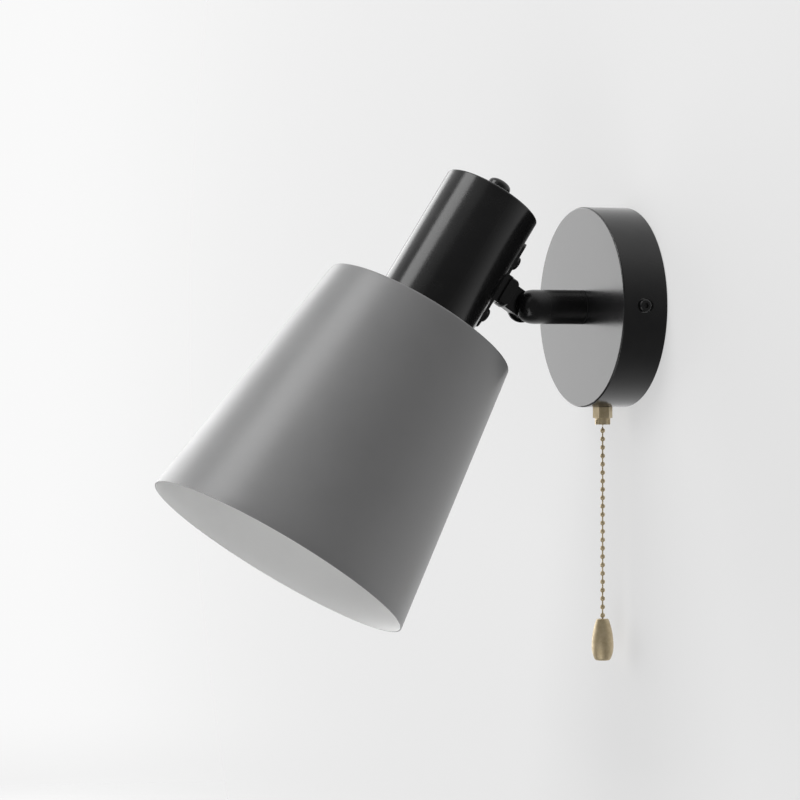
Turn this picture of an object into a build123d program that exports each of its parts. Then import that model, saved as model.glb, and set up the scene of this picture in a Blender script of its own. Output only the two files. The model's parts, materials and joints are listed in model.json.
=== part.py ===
# Bedside wall reading lamp: round canopy, short arm, tilting lampholder cup with a conical shade, and a
# bead-chain pull switch. Millimetres. +Z is up, the wall is the plane Y = 0 and the room is on its -Y side,
# +X runs along the wall. The origin is on the wall at the canopy's centre.
import math
import os

from build123d import *

os.makedirs("parts", exist_ok=True)

# ---- driving sizes -----------------------------------------------------------------------------------
running_gap = 0.08          # radial clearance where one piece turns or slides in another
seat_gap = 0.15             # radial clearance of a fixed piece in its hole
thread_gap = 0.05           # radial clearance left between a screw and its threaded hole

canopy_dia = 100.0
canopy_depth = 23.5
canopy_wall = 1.2
canopy_edge_r = 0.7
side_slot_length = 8.8      # oblong hole in the canopy's rim, along the rim's depth
side_slot_width = 6.8
side_screw_depth = 11.9     # from the wall to the side screws' axis
side_screw_head_dia = 6.2
side_screw_proud = 0.9
side_screw_dia = 4.0
side_screw_length = 7.0
side_screw_socket = 2.5      # across the flats of the side screws' key hole
driver_slot_width = 1.0
driver_slot_depth = 1.1

bracket_thickness = 1.6
bracket_height = 24.0
bracket_tab_width = 30.0
bracket_tab_top = 37.0
ear_gap = 1.3               # from the ear's outer face to the canopy's inner face, on the middle line
ear_height = 14.0
ear_depth = 17.5
wall_slot_spacing = 60.0
wall_slot_length = 12.0
wall_slot_width = 4.8

grommet_hole_dia = 13.0
grommet_bore = 9.0
grommet_flange_dia = 17.0
grommet_flange = 1.0
earth_screw_x = 16.5
earth_screw_dia = 4.0
earth_head_dia = 7.0
earth_head = 2.6
earth_washer_dia = 8.4
earth_washer = 0.8

terminal_width = 26.0
terminal_depth = 12.0
terminal_height = 15.0
terminal_bottom = 17.0
terminal_poles = 3
terminal_pitch = 8.0
terminal_bore = 3.6
terminal_screw_dia = 3.0

arm_dia = 17.2
arm_wall = 1.4
arm_seam_depth = 43.6       # from the wall to the joint line between the arm tube and its knuckle
insert_length = 9.0
spigot_length = 7.0
nipple_dia = 10.0
nipple_bore = 7.0
nipple_inner_end = 13.0     # from the wall to the nipple's end inside the canopy
nipple_thread_in_arm = 7.5
swivel_washer = 0.3
swivel_washer_dia = 17.0
inner_washer_dia = 18.0
inner_washer = 1.0
spring_washer_dia = 16.0
spring_washer = 0.8
arm_nut_flats = 14.0
arm_nut_height = 4.0
arm_lead_dia = 5.2

pivot_depth = 53.3          # from the wall to the tilt axis
knuckle_nose = 58.7         # from the wall to the tip of the arm's rounded end
knuckle_nose_length = 10.1
knuckle_shoulder = 6.8      # from the tilt axis to the shoulder where the arm's far half is cut away
hinge_gap = 0.3             # half the space between the two lugs, taken up by the friction washer
friction_washer_dia = 10.4
hinge_screw_dia = 5.0
hinge_screw_reach = 5.0     # how far the thread goes into the arm's lug
hinge_head_dia = 11.0
hinge_head = 3.4
hinge_washer_dia = 15.6
hinge_washer = 1.2
hinge_bore_spare = 0.4      # bore left beyond the hinge screw's end
hex_key_flats = 3.0
hex_key_depth = 2.0

tilt_at_rest = 32.8         # degrees between the shade's axis and straight down
pivot_to_cup_axis = 44.64
pivot_below_cup_top = 35.4

head_lug_width = 12.7
head_lug_far = 5.6          # from the joint's middle plane to the head lug's outer face
head_block_dia = 16.1
head_block_near = 4.9       # from the joint's middle plane to the flat on the block's near side
head_block_end = 10.34      # from the tilt axis to the end of the block
head_block_length = 5.5
block_round_r = 2.0
block_chamfer = 0.5
pad_width = 6.8             # pad between the block and the saddle plate
pad_length = 15.2

plate_length = 48.6
plate_rise = 0.8            # from the tilt axis up to the plate's middle
plate_width = 12.0
plate_thickness = 1.5
plate_end_r = 3.0
saddle_screw_spacing = 30.6
saddle_screw_drop = 0.6     # from the tilt axis down to the middle between the two screws
saddle_head_dia = 7.6
saddle_head = 2.3
saddle_head_round = 1.4
saddle_screw_dia = 4.0
knuckle_bolt_dia = 5.0
knuckle_bolt_reach = 6.0
knuckle_bolt_head_dia = 9.0
knuckle_bolt_head = 2.0

cup_dia = 50.8
cup_wall = 1.0
cup_length = 72.1
cup_edge_r = 0.9

cap_nut_dia = 12.2
cap_nut_side = 5.2
cap_nut_dome = 3.4
cap_washer_dia = 13.4
cap_washer = 0.9
holder_nipple_dia = 10.0
holder_nipple_bore = 7.0
cap_nut_thread = 4.5
inner_nut_flats = 14.0
inner_nut_height = 3.0

holder_cap_top = 13.0       # the next sizes are distances down from the cup's top face
holder_split = 34.0
ceramic_top = 38.0
ceramic_bottom = 48.0
shell_narrow_end = 52.0
shell_mouth = 83.0
skirt_end = 86.5
holder_dia = 39.0
holder_wall = 2.2
holder_flange_dia = 46.0
holder_flange = 4.0
shell_inner_r = 13.35
shell_narrow_r = 12.2
shell_wall = 0.45
contact_width = 7.0
contact_strip = 0.5
contact_rise = 3.0
shade_ring_dia = 52.0
shade_ring_flange = 2.2
shade_ring_height = 9.0
shade_ring_collar_dia = 44.5
ring_rib_count = 24

shade_top_dia = 101.0
shade_bottom_dia = 138.4
shade_height = 137.4
shade_wall = 0.8
shade_top_edge_r = 1.3
shade_hole_dia = 40.2
shade_lip_r = 0.3

pull_depth = 11.35          # from the wall to the pull switch's axis
bushing_dia = 6.4
bushing_bore = 3.4
bushing_flange_dia = 9.0
bushing_flange = 1.2
hex_nut_flats = 8.6
hex_nut_height = 5.4
ring_nut_dia = 7.7
ring_nut_height = 3.3
ring_nut_lip = 0.9
ring_nut_mouth = 3.2
ring_notch_width = 2.1
ring_notch_depth = 0.4
ring_notch_count = 4
inner_hex_height = 1.6
case_width = 20.0
case_depth = 17.0
case_height = 19.0
case_wall = 1.4
case_corner_r = 2.0

plunger_dia = 3.24
plunger_collar_dia = 8.0
plunger_collar = 1.4
plunger_stub = 1.8          # the rod's end above its collar
plunger_drop = 4.0          # from the case's lid to the plunger's collar
pull_travel = 5.0
spring_dia = 6.4            # middle diameter of the return spring
spring_wire = 0.7
spring_turns = 5
bead_dia = 2.5
bead_pitch = 4.21
link_dia = 0.75
bead_count = 23
first_bead_drop = 3.05      # from the ring nut's lower face to the first hanging bead's centre

knob_length = 20.8
knob_top_dia = 6.3
knob_max_dia = 11.0
knob_max_at = 13.6          # from the knob's top to its widest place
knob_bottom_dia = 6.6
knob_foot_r = 1.2
knob_drop = 1.73            # from the last bead's centre to the knob's top
knob_hole_depth = 2.5

lead_dia = 2.0

# ---- planes and places -------------------------------------------------------------------------------
wall = Plane.XZ             # its normal points out of the wall into the room
canopy_r = canopy_dia / 2
canopy_inner_r = canopy_r - canopy_wall
tilt = math.radians(tilt_at_rest)
up_axis = Vector(0, math.sin(tilt), math.cos(tilt))         # along the cup, from the shade to the closed end
back_axis = Vector(0, math.cos(tilt), -math.sin(tilt))      # from the cup's axis to the tilt axis
pivot = Vector(0, -pivot_depth, 0)
cup_top = pivot - back_axis * pivot_to_cup_axis + up_axis * pivot_below_cup_top
cup_plane = Plane(origin=cup_top, x_dir=(1, 0, 0), z_dir=up_axis)
head_axis = Axis(cup_top, up_axis)
# the half section of the cup and shade: local x is the radius, local y runs up the axis
head_section = Plane(origin=cup_top, x_dir=back_axis, z_dir=back_axis.cross(up_axis))
# the half section of the arm: local x is the radius, local y the distance from the wall
arm_section = Plane(origin=(0, 0, 0), x_dir=(1, 0, 0), z_dir=(0, 0, -1))
# looking at the saddle from the wall side: local x along X, local y up the cup, normal away from the cup
saddle_plane = Plane(origin=pivot - back_axis * pivot_to_cup_axis, x_dir=(-1, 0, 0), z_dir=back_axis)
hinge_plane = Plane(origin=pivot, x_dir=back_axis, z_dir=(1, 0, 0))
pull_plane = Plane(origin=(0, -pull_depth, 0), x_dir=(1, 0, 0), z_dir=(0, 0, 1))
pull_section = Plane(origin=(0, -pull_depth, 0), x_dir=(1, 0, 0), z_dir=(0, -1, 0))
pull_axis = Axis((0, -pull_depth, 0), (0, 0, 1))


def finish(block, name):
    """Label a finished sub-part and write it as its own STEP file."""
    block.part.label = name
    export_step(block.part, f"parts/{name}.step")


# ---- wall bracket: a strap with two bent ears and a tab for the terminal block ------------------------
ear_outer_x = canopy_inner_r - ear_gap
with BuildPart() as wall_bracket:
    with BuildSketch(wall):
        Rectangle(2 * ear_outer_x, bracket_height)
        with Locations((0, bracket_tab_top / 2)):
            Rectangle(bracket_tab_width, bracket_tab_top)
    extrude(amount=bracket_thickness)
    with BuildSketch(Plane.XY.offset(-bracket_height / 2)):
        with Locations((ear_outer_x - bracket_height / 4, 0), (bracket_height / 4 - ear_outer_x, 0)):
            Rectangle(bracket_height / 2, 4 * bracket_thickness)
    extrude(amount=(bracket_height - ear_height) / 2, mode=Mode.SUBTRACT)
    with BuildSketch(Plane.XY.offset(bracket_height / 2)):
        with Locations((ear_outer_x - bracket_height / 4, 0), (bracket_height / 4 - ear_outer_x, 0)):
            Rectangle(bracket_height / 2, 4 * bracket_thickness)
    extrude(amount=-(bracket_height - ear_height) / 2, mode=Mode.SUBTRACT)
    with BuildSketch(wall):
        with Locations((ear_outer_x - bracket_thickness / 2, 0), (bracket_thickness / 2 - ear_outer_x, 0)):
            Rectangle(bracket_thickness, ear_height)
    extrude(amount=ear_depth)
    fillet(wall_bracket.edges().filter_by(Axis.Z).group_by(Axis.Y)[-1].sort_by(Axis.X)[0], bracket_thickness)
    fillet(wall_bracket.edges().filter_by(Axis.Z).group_by(Axis.Y)[-1].sort_by(Axis.X)[-1], bracket_thickness)
    with BuildSketch(wall):
        with Locations((wall_slot_spacing / 2, 0), (-wall_slot_spacing / 2, 0)):
            SlotOverall(wall_slot_length, wall_slot_width)
        Circle(grommet_hole_dia / 2)
        with Locations((earth_screw_x, 0)):
            Circle(earth_screw_dia / 2 + thread_gap)
    extrude(amount=bracket_thickness, mode=Mode.SUBTRACT)
    with BuildSketch(Plane.YZ):
        with Locations((-side_screw_depth, 0)):
            Circle(side_screw_dia / 2 + thread_gap)
    extrude(amount=canopy_r, both=True, mode=Mode.SUBTRACT)
finish(wall_bracket, "wall_bracket")

# ---- rubber grommet in the bracket's cable hole -------------------------------------------------------
with BuildPart() as cable_grommet:
    with BuildSketch(wall):
        Circle(grommet_hole_dia / 2)
    extrude(amount=bracket_thickness)
    with BuildSketch(wall.offset(bracket_thickness)):
        Circle(grommet_flange_dia / 2)
    extrude(amount=grommet_flange)
    with BuildSketch(wall):
        Circle(grommet_bore / 2)
    extrude(amount=bracket_thickness + grommet_flange, mode=Mode.SUBTRACT)
finish(cable_grommet, "cable_grommet")

# ---- earth screw with its washer ----------------------------------------------------------------------
with BuildPart() as earth_washer_part:
    with BuildSketch(wall.offset(bracket_thickness)):
        with Locations((earth_screw_x, 0)):
            Circle(earth_washer_dia / 2)
            Circle(earth_screw_dia / 2 + seat_gap, mode=Mode.SUBTRACT)
    extrude(amount=earth_washer)
finish(earth_washer_part, "earth_washer")

with BuildPart() as earth_screw:
    with BuildSketch(wall):
        with Locations((earth_screw_x, 0)):
            Circle(earth_screw_dia / 2)
    extrude(amount=bracket_thickness + earth_washer)
    with BuildSketch(wall.offset(bracket_thickness + earth_washer)):
        with Locations((earth_screw_x, 0)):
            Circle(earth_head_dia / 2)
    extrude(amount=earth_head)
    with BuildSketch(wall.offset(bracket_thickness + earth_washer + earth_head)):
        with Locations((earth_screw_x, 0)):
            Rectangle(earth_head_dia, driver_slot_width, rotation=35)
    extrude(amount=-driver_slot_depth, mode=Mode.SUBTRACT)
finish(earth_screw, "earth_screw")

# ---- terminal block and its clamping screws -----------------------------------------------------------
pole_x = [(i - (terminal_poles - 1) / 2) * terminal_pitch for i in range(terminal_poles)]
terminal_mid_z = terminal_bottom + terminal_height / 2
terminal_front = bracket_thickness + terminal_depth
terminal_bore_depth = bracket_thickness + terminal_depth / 2
with BuildPart() as terminal_block:
    with BuildSketch(wall.offset(bracket_thickness)):
        with Locations((0, terminal_mid_z)):
            RectangleRounded(terminal_width, terminal_height, 1.0)
    extrude(amount=terminal_depth)
    with BuildSketch(Plane.XY.offset(terminal_bottom)):
        with Locations(*[(x, -terminal_bore_depth) for x in pole_x]):
            Circle(terminal_bore / 2)
    extrude(amount=terminal_height, mode=Mode.SUBTRACT)
    with BuildSketch(wall.offset(terminal_bore_depth)):
        with Locations(*[(x, terminal_mid_z) for x in pole_x]):
            Circle(terminal_screw_dia / 2 + thread_gap)
    extrude(amount=terminal_depth, mode=Mode.SUBTRACT)
finish(terminal_block, "terminal_block")

with BuildPart() as terminal_screws:
    with BuildSketch(wall.offset(terminal_bore_depth + terminal_bore / 4)):
        with Locations(*[(x, terminal_mid_z) for x in pole_x]):
            Circle(terminal_screw_dia / 2)
    extrude(amount=terminal_depth / 2 - terminal_bore / 4 - 0.8)
    with BuildSketch(wall.offset(terminal_front - 0.8)):
        with Locations(*[(x, terminal_mid_z) for x in pole_x]):
            Rectangle(terminal_screw_dia + 1, 0.6)
    extrude(amount=-0.8, mode=Mode.SUBTRACT)
finish(terminal_screws, "terminal_screws")

# ---- canopy cover: a shallow drawn cup, open to the wall ----------------------------------------------
with BuildPart() as canopy_cover:
    with BuildSketch(wall):
        Circle(canopy_r)
    extrude(amount=canopy_depth)
    fillet(canopy_cover.faces().sort_by(Axis.Y)[0].edges(), canopy_edge_r)
    with BuildSketch(wall):
        Circle(canopy_inner_r)
    extrude(amount=canopy_depth - canopy_wall, mode=Mode.SUBTRACT)
    with BuildSketch(wall):
        Circle(nipple_dia / 2 + running_gap)
    extrude(amount=canopy_depth, mode=Mode.SUBTRACT)
    with BuildSketch(Plane.YZ):
        with Locations((-side_screw_depth, 0)):
            SlotOverall(side_slot_length, side_slot_width)
    extrude(amount=canopy_r, both=True, mode=Mode.SUBTRACT)
    with BuildSketch(pull_plane):
        Circle(bushing_dia / 2 + seat_gap)
    extrude(amount=-canopy_r, mode=Mode.SUBTRACT)
finish(canopy_cover, "canopy_cover")

# ---- side screws: slotted heads that fill the rim's oblong holes and thread into the bracket's ears ---
side_head_outer = canopy_r + side_screw_proud
with BuildPart() as side_screws:
    for side in (1, -1):
        with BuildSketch(Plane.YZ.offset(side * ear_outer_x)):
            with Locations((-side_screw_depth, 0)):
                Circle(side_screw_head_dia / 2)
        extrude(amount=side * (side_head_outer - ear_outer_x))
        with BuildSketch(Plane.YZ.offset(side * ear_outer_x)):
            with Locations((-side_screw_depth, 0)):
                Circle(side_screw_dia / 2)
        extrude(amount=-side * side_screw_length)
    fillet(side_screws.edges().filter_by(GeomType.CIRCLE).group_by(Axis.X)[-1], 0.8)
    fillet(side_screws.edges().filter_by(GeomType.CIRCLE).group_by(Axis.X)[0], 0.8)
    for side in (1, -1):
        with BuildSketch(Plane.YZ.offset(side * side_head_outer)):
            with Locations((-side_screw_depth, 0)):
                RegularPolygon(side_screw_socket / 2, 6, major_radius=False)
        extrude(amount=-side * driver_slot_depth, mode=Mode.SUBTRACT)
finish(side_screws, "side_screws")

# ---- arm swivel: washers, hollow nipple and lock nut ---------------------------------------------------
arm_start = canopy_depth + swivel_washer
canopy_front_inside = canopy_depth - canopy_wall
with BuildPart() as swivel_washer_part:
    with BuildSketch(wall.offset(canopy_depth)):
        Circle(swivel_washer_dia / 2)
        Circle(nipple_dia / 2 + seat_gap, mode=Mode.SUBTRACT)
    extrude(amount=swivel_washer)
finish(swivel_washer_part, "swivel_washer")

with BuildPart() as inner_washer_part:
    with BuildSketch(wall.offset(canopy_front_inside)):
        Circle(inner_washer_dia / 2)
        Circle(nipple_dia / 2 + seat_gap, mode=Mode.SUBTRACT)
    extrude(amount=-inner_washer)
finish(inner_washer_part, "inner_washer")

spring_washer_front = canopy_front_inside - inner_washer
with BuildPart() as spring_washer_part:
    with BuildSketch(wall.offset(spring_washer_front)):
        Circle(spring_washer_dia / 2)
        Circle(nipple_dia / 2 + seat_gap, mode=Mode.SUBTRACT)
        with Locations((spring_washer_dia / 2, 0)):
            Rectangle(spring_washer_dia, 0.8, rotation=20, mode=Mode.SUBTRACT)
    extrude(amount=-spring_washer)
finish(spring_washer_part, "spring_washer")

arm_nut_front = spring_washer_front - spring_washer
with BuildPart() as arm_lock_nut:
    with BuildSketch(wall.offset(arm_nut_front)):
        RegularPolygon(arm_nut_flats / 2, 6, major_radius=False)
        Circle(nipple_dia / 2 + thread_gap, mode=Mode.SUBTRACT)
    extrude(amount=-arm_nut_height)
finish(arm_lock_nut, "arm_lock_nut")

with BuildPart() as arm_nipple:
    with BuildSketch(wall.offset(nipple_inner_end)):
        Circle(nipple_dia / 2)
        Circle(nipple_bore / 2, mode=Mode.SUBTRACT)
    extrude(amount=arm_start + nipple_thread_in_arm - nipple_inner_end)
finish(arm_nipple, "arm_nipple")

# ---- arm tube and the threaded insert in its wall end ----------------------------------------------------
arm_inner_r = arm_dia / 2 - arm_wall
with BuildPart() as arm_tube:
    with BuildSketch(wall.offset(arm_start)):
        Circle(arm_dia / 2)
        Circle(arm_inner_r, mode=Mode.SUBTRACT)
    extrude(amount=arm_seam_depth - arm_start)
finish(arm_tube, "arm_tube")

with BuildPart() as arm_insert:
    with BuildSketch(wall.offset(arm_start)):
        Circle(arm_inner_r - thread_gap)
        Circle(nipple_dia / 2 + thread_gap, mode=Mode.SUBTRACT)
    extrude(amount=insert_length)
finish(arm_insert, "arm_insert")

# ---- arm-side knuckle: spigot in the tube, round body, and the near half of a domed end ------------------
shoulder_depth = pivot_depth - knuckle_shoulder
dome_start = knuckle_nose - knuckle_nose_length
with BuildPart() as arm_knuckle:
    with BuildSketch(wall.offset(arm_seam_depth)):
        Circle(arm_inner_r - thread_gap)
    extrude(amount=-spigot_length)
    with BuildSketch(arm_section):
        with BuildLine():
            Polyline((0, arm_seam_depth), (arm_dia / 2, arm_seam_depth), (arm_dia / 2, dome_start))
            Spline((arm_dia / 2, dome_start), (0, knuckle_nose), tangents=((0, 1), (-1, 0)))
            Line((0, knuckle_nose), (0, arm_seam_depth))
        make_face()
    revolve(axis=Axis.Y)
    with BuildSketch(wall.offset(shoulder_depth)):
        with Locations((hinge_gap - arm_dia / 2, 0)):
            Rectangle(arm_dia, 2 * arm_dia)
    extrude(amount=2 * arm_dia, mode=Mode.SUBTRACT)
    with BuildSketch(wall.offset(arm_seam_depth - spigot_length)):
        Circle(arm_lead_dia / 2 + seat_gap)
    extrude(amount=spigot_length - 1.0, mode=Mode.SUBTRACT)
    with BuildSketch(hinge_plane):
        Circle(hinge_screw_dia / 2 + thread_gap)
    extrude(amount=hinge_screw_reach + hinge_bore_spare, mode=Mode.SUBTRACT)
    with BuildSketch(hinge_plane.offset(-head_lug_far + 0.2)):
        Circle(hinge_washer_dia / 2 + 2 * seat_gap)
    extrude(amount=-arm_dia, mode=Mode.SUBTRACT)
finish(arm_knuckle, "arm_knuckle")

# ---- sheathed lead through the arm -----------------------------------------------------------------------
lead_start = nipple_inner_end + 7.0
with BuildPart() as arm_lead:
    with BuildSketch(wall.offset(lead_start)):
        Circle(arm_lead_dia / 2)
    extrude(amount=arm_seam_depth - 1.2 - lead_start)
finish(arm_lead, "arm_lead")

# ---- tilt hinge: friction washer, hinge screw and its washer ----------------------------------------------
with BuildPart() as friction_washer:
    with BuildSketch(hinge_plane.offset(-hinge_gap)):
        Circle(friction_washer_dia / 2)
        Circle(hinge_screw_dia / 2 + seat_gap, mode=Mode.SUBTRACT)
    extrude(amount=2 * hinge_gap)
finish(friction_washer, "friction_washer")

with BuildPart() as hinge_washer_part:
    with BuildSketch(hinge_plane.offset(-head_lug_far)):
        Circle(hinge_washer_dia / 2)
        Circle(hinge_screw_dia / 2 + seat_gap, mode=Mode.SUBTRACT)
    extrude(amount=-hinge_washer)
finish(hinge_washer_part, "hinge_washer")

hinge_head_seat = head_lug_far + hinge_washer
with BuildPart() as hinge_screw:
    with BuildSketch(hinge_plane.offset(-hinge_head_seat)):
        Circle(hinge_head_dia / 2)
    extrude(amount=-hinge_head)
    fillet(hinge_screw.edges().sort_by(Axis.X)[0], hinge_head / 2)
    with BuildSketch(hinge_plane.offset(-hinge_head_seat)):
        Circle(hinge_screw_dia / 2)
    extrude(amount=hinge_head_seat + hinge_screw_reach)
    with BuildSketch(hinge_plane.offset(-hinge_head_seat - hinge_head)):
        RegularPolygon(hex_key_flats / 2, 6, major_radius=False)
    extrude(amount=hex_key_depth, mode=Mode.SUBTRACT)
finish(hinge_screw, "hinge_screw")

# ---- head-side knuckle: pad, round block with two flats, and far lug ------------------------------------------
plate_outer_r = cup_dia / 2 + plate_thickness
block_from_axis = pivot_to_cup_axis - head_block_end
block_start = block_from_axis - head_block_length
lug_reach = head_block_end + block_round_r
with BuildPart() as head_knuckle:
    with BuildSketch(saddle_plane.offset(block_start)):
        Circle(head_block_dia / 2)
    extrude(amount=head_block_length)
    fillet(head_knuckle.faces().sort_by(Axis(pivot, back_axis))[-1].edges(), block_round_r)
    chamfer(head_knuckle.faces().sort_by(Axis(pivot, back_axis))[0].edges(), block_chamfer)
    with BuildSketch(saddle_plane.offset(block_start)):
        with Locations((head_lug_far + head_block_dia / 2, 0), (-head_block_near - head_block_dia / 2, 0)):
            Rectangle(head_block_dia, 2 * head_block_dia)
    extrude(amount=head_block_length, mode=Mode.SUBTRACT)
    with BuildSketch(hinge_plane.offset(-head_lug_far)):
        Circle(head_lug_width / 2)
        with Locations((-lug_reach / 2, 0)):
            Rectangle(lug_reach, head_lug_width)
    extrude(amount=head_lug_far - hinge_gap)
    with BuildSketch(saddle_plane.offset(plate_outer_r)):
        Rectangle(pad_width, pad_length)
    extrude(amount=block_start + 1 - plate_outer_r)
    with BuildSketch(hinge_plane.offset(-head_lug_far)):
        Circle(hinge_screw_dia / 2 + running_gap)
    extrude(amount=head_lug_far, mode=Mode.SUBTRACT)
    with BuildSketch(saddle_plane.offset(plate_outer_r)):
        Circle(knuckle_bolt_dia / 2 + thread_gap)
    extrude(amount=knuckle_bolt_reach, mode=Mode.SUBTRACT)
finish(head_knuckle, "head_knuckle")

# ---- saddle plate: a strap curved to the cup ---------------------------------------------------------------
screw_places = [(0, saddle_screw_spacing / 2 - saddle_screw_drop), (0, -saddle_screw_spacing / 2 - saddle_screw_drop)]
with BuildPart() as saddle_plate:
    with BuildSketch(saddle_plane):
        with Locations((0, plate_rise)):
            RectangleRounded(plate_width, plate_length, plate_end_r)
    extrude(amount=plate_outer_r + 1)
    with BuildSketch(cup_plane):
        Circle(cup_dia)
        Circle(plate_outer_r, mode=Mode.SUBTRACT)
    extrude(amount=-cup_length, mode=Mode.SUBTRACT)
    with BuildSketch(cup_plane):
        Circle(cup_dia / 2)
    extrude(amount=-cup_length, mode=Mode.SUBTRACT)
    with BuildSketch(saddle_plane):
        with Locations(*screw_places):
            Circle(saddle_screw_dia / 2 + thread_gap)
        Circle(knuckle_bolt_dia / 2 + seat_gap)
    extrude(amount=cup_dia, mode=Mode.SUBTRACT)
finish(saddle_plate, "saddle_plate")

# ---- saddle screws with domed heads, and the bolt that holds the knuckle from inside the cup -------------------
screw_tip = cup_dia / 2 - cup_wall - 3.0
with BuildPart() as saddle_screws:
    with BuildSketch(saddle_plane.offset(plate_outer_r)):
        with Locations(*screw_places):
            Circle(saddle_head_dia / 2)
    extrude(amount=saddle_head)
    fillet(saddle_screws.edges().group_by(Axis(pivot, back_axis))[-1], saddle_head_round)
    with BuildSketch(saddle_plane.offset(screw_tip)):
        with Locations(*screw_places):
            Circle(saddle_screw_dia / 2)
    extrude(amount=plate_outer_r - screw_tip)
    with BuildSketch(saddle_plane.offset(plate_outer_r + saddle_head)):
        with Locations(*screw_places):
            Rectangle(saddle_head_dia * 0.6, driver_slot_width, rotation=20)
            Rectangle(driver_slot_width, saddle_head_dia * 0.6, rotation=20)
    extrude(amount=-driver_slot_depth, mode=Mode.SUBTRACT)
finish(saddle_screws, "saddle_screws")

cup_inner_r = cup_dia / 2 - cup_wall
bolt_seat = math.sqrt(cup_inner_r ** 2 - (knuckle_bolt_head_dia / 2) ** 2)
with BuildPart() as knuckle_bolt:
    with BuildSketch(saddle_plane.offset(bolt_seat - knuckle_bolt_head)):
        Circle(knuckle_bolt_head_dia / 2)
    extrude(amount=knuckle_bolt_head)
    with BuildSketch(saddle_plane.offset(bolt_seat)):
        Circle(knuckle_bolt_dia / 2)
    extrude(amount=plate_outer_r + knuckle_bolt_reach - 0.5 - bolt_seat)
finish(knuckle_bolt, "knuckle_bolt")

# ---- lampholder cup: a drawn tube with a closed end ---------------------------------------------------------
with BuildPart() as lampholder_cup:
    with BuildSketch(cup_plane):
        Circle(cup_dia / 2)
    extrude(amount=-cup_length)
    fillet(lampholder_cup.faces().sort_by(head_axis)[-1].edges(), cup_edge_r)
    with BuildSketch(cup_plane.offset(-cup_wall)):
        Circle(cup_inner_r)
    extrude(amount=cup_wall - cup_length, mode=Mode.SUBTRACT)
    with BuildSketch(cup_plane):
        Circle(holder_nipple_dia / 2 + seat_gap)
    extrude(amount=-cup_wall, mode=Mode.SUBTRACT)
    with BuildSketch(saddle_plane):
        with Locations(*screw_places):
            Circle(saddle_screw_dia / 2 + thread_gap)
        Circle(knuckle_bolt_dia / 2 + seat_gap)
    extrude(amount=cup_dia, mode=Mode.SUBTRACT)
finish(lampholder_cup, "lampholder_cup")

# ---- domed cap nut, washer, holder nipple and inner nut --------------------------------------------------------
with BuildPart() as cap_washer_part:
    with BuildSketch(cup_plane):
        Circle(cap_washer_dia / 2)
        Circle(holder_nipple_dia / 2 + seat_gap, mode=Mode.SUBTRACT)
    extrude(amount=cap_washer)
finish(cap_washer_part, "cap_washer")

nut_side_top = cap_washer + cap_nut_side
nut_top = nut_side_top + cap_nut_dome
with BuildPart() as cap_nut:
    with BuildSketch(head_section):
        with BuildLine():
            Polyline((0, cap_washer), (cap_nut_dia / 2, cap_washer), (cap_nut_dia / 2, nut_side_top))
            Spline((cap_nut_dia / 2, nut_side_top), (0, nut_top), tangents=((0, 1), (-1, 0)))
            Line((0, nut_top), (0, cap_washer))
        make_face()
    revolve(axis=head_axis)
    with BuildSketch(cup_plane.offset(cap_washer)):
        Circle(holder_nipple_dia / 2 + thread_gap)
    extrude(amount=cap_nut_thread, mode=Mode.SUBTRACT)
finish(cap_nut, "cap_nut")

nipple_low = holder_cap_top + 8.0
with BuildPart() as holder_nipple:
    with BuildSketch(cup_plane.offset(cap_washer + cap_nut_thread - 0.5)):
        Circle(holder_nipple_dia / 2)
        Circle(holder_nipple_bore / 2, mode=Mode.SUBTRACT)
    extrude(amount=-(cap_washer + cap_nut_thread - 0.5 + nipple_low))
finish(holder_nipple, "holder_nipple")

with BuildPart() as holder_nut:
    with BuildSketch(cup_plane.offset(-cup_wall)):
        RegularPolygon(inner_nut_flats / 2, 6, major_radius=False)
        Circle(holder_nipple_dia / 2 + thread_gap, mode=Mode.SUBTRACT)
    extrude(amount=-inner_nut_height)
finish(holder_nut, "holder_nut")

# ---- lampholder: cap, ceramic base, body with threaded skirt, screw shell and centre contact --------------------
holder_inner_r = holder_dia / 2 - holder_wall
with BuildPart() as holder_cap:
    with BuildSketch(cup_plane.offset(-holder_cap_top)):
        Circle(holder_dia / 2)
    extrude(amount=holder_cap_top - holder_split)
    fillet(holder_cap.faces().sort_by(head_axis)[-1].edges(), 3.0)
    with BuildSketch(cup_plane.offset(-holder_cap_top - 4.0)):
        Circle(holder_inner_r)
    extrude(amount=holder_cap_top + 4.0 - holder_split, mode=Mode.SUBTRACT)
    with BuildSketch(cup_plane.offset(-holder_cap_top)):
        Circle(holder_nipple_dia / 2 + thread_gap)
    extrude(amount=-4.0, mode=Mode.SUBTRACT)
finish(holder_cap, "holder_cap")

with BuildPart() as holder_base:
    with BuildSketch(cup_plane.offset(-ceramic_top)):
        Circle(holder_inner_r - seat_gap)
        with Locations((0, 9.0), (0, -9.0)):
            Circle(1.6, mode=Mode.SUBTRACT)
    extrude(amount=ceramic_top - ceramic_bottom)
finish(holder_base, "holder_base")

with BuildPart() as holder_body:
    with BuildSketch(cup_plane.offset(-holder_split)):
        Circle(holder_dia / 2)
    extrude(amount=holder_split - skirt_end)
    with BuildSketch(cup_plane.offset(-cup_length)):
        Circle(holder_flange_dia / 2)
    extrude(amount=holder_flange)
    with BuildSketch(cup_plane.offset(-holder_split)):
        Circle(holder_inner_r)
    extrude(amount=holder_split - ceramic_bottom, mode=Mode.SUBTRACT)
    with BuildSketch(cup_plane.offset(-ceramic_bottom)):
        Circle(shell_inner_r + shell_wall + seat_gap)
    extrude(amount=ceramic_bottom - skirt_end, mode=Mode.SUBTRACT)
finish(holder_body, "holder_body")

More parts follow.
